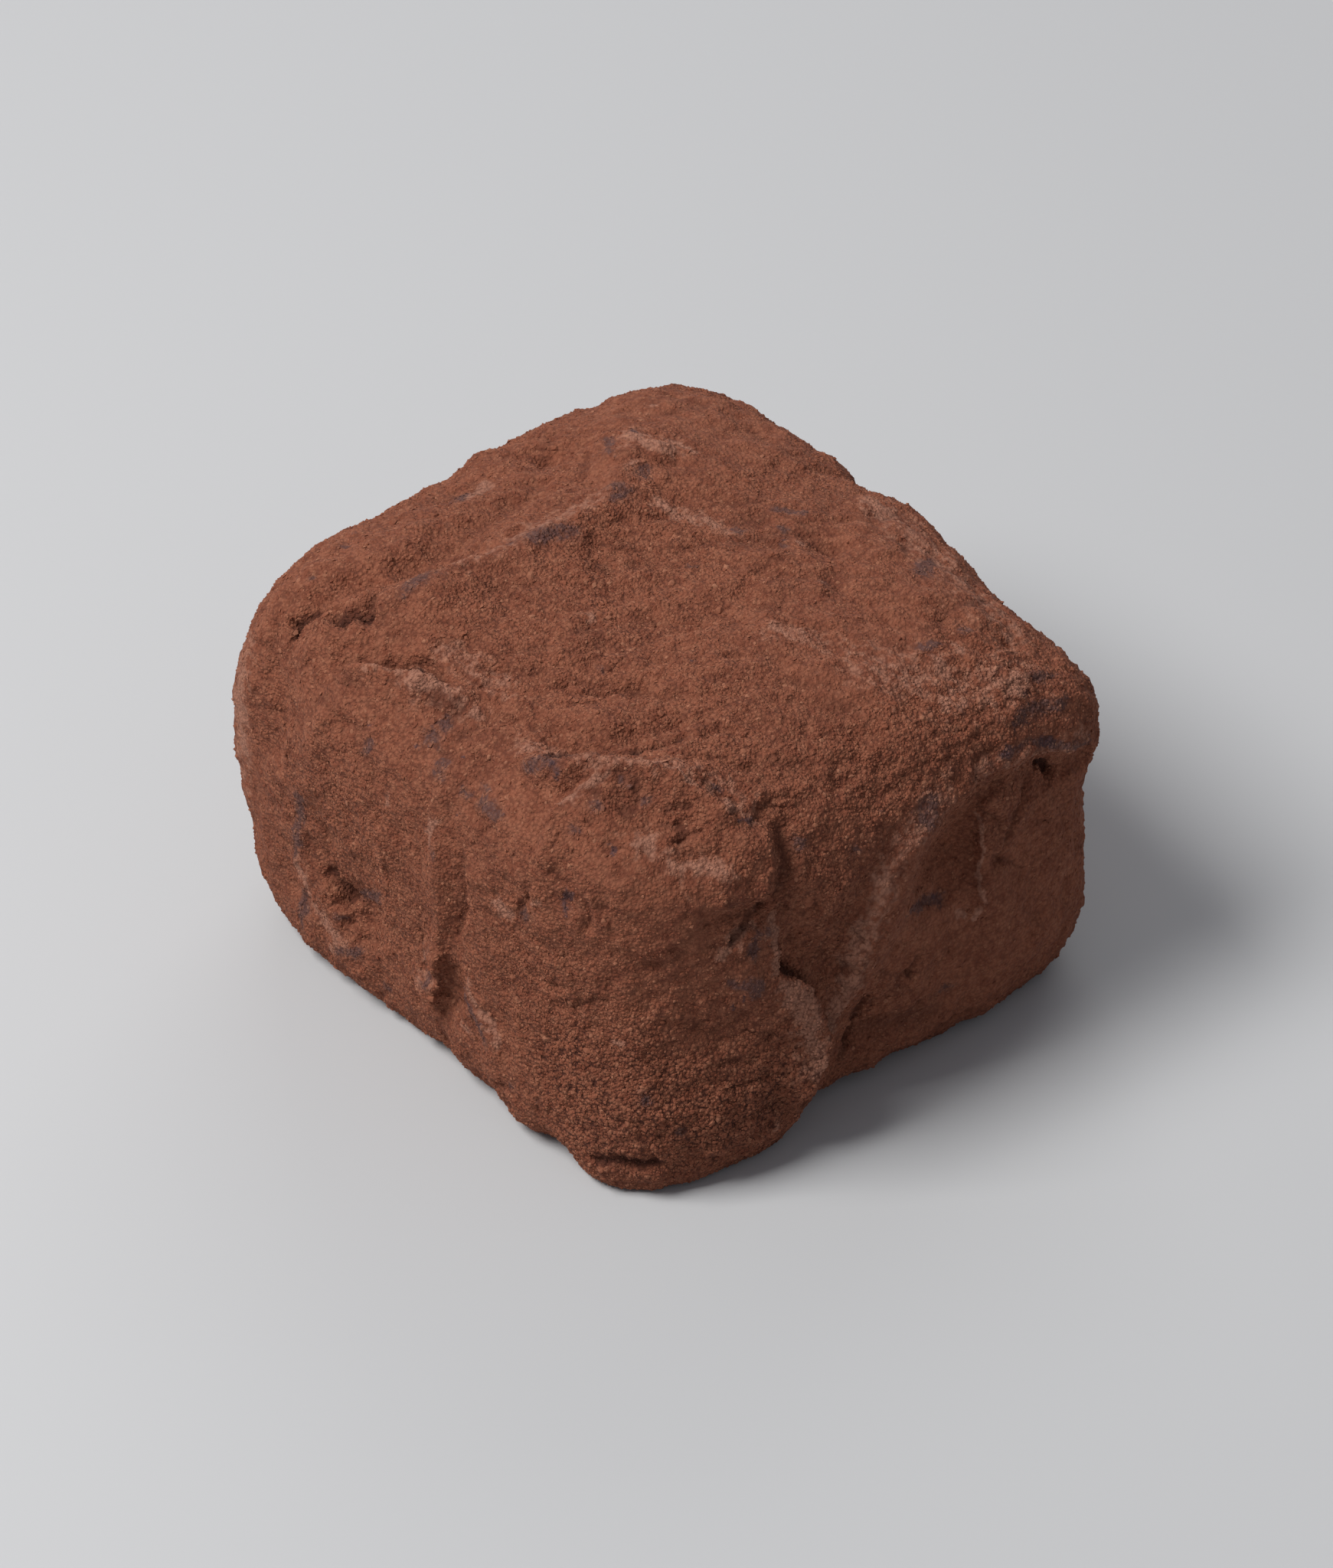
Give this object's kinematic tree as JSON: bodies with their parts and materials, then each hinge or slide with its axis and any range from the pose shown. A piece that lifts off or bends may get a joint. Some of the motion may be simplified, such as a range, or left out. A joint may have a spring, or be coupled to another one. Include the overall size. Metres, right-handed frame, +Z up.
{
  "type": "chocolate truffle",
  "caption": "Soft hand-cut square block of chocolate ganache rolled in cocoa powder, with a dented flat top, folded sides and a flat base to rest on.",
  "frame": {"origin": "centre of the footprint at the base, on the surface that the truffle rests on", "axes": "+Z up from the base; the front side faces -Y and the right side +X, and they meet at the corner that stands out"},
  "size_m": [0.0274, 0.026, 0.0174],
  "materials": {
    "cocoa": "dry, powdery and fully matte"
  },
  "bodies": {
    "root": {"truffle": "cocoa"}
  },
  "joints": []
}
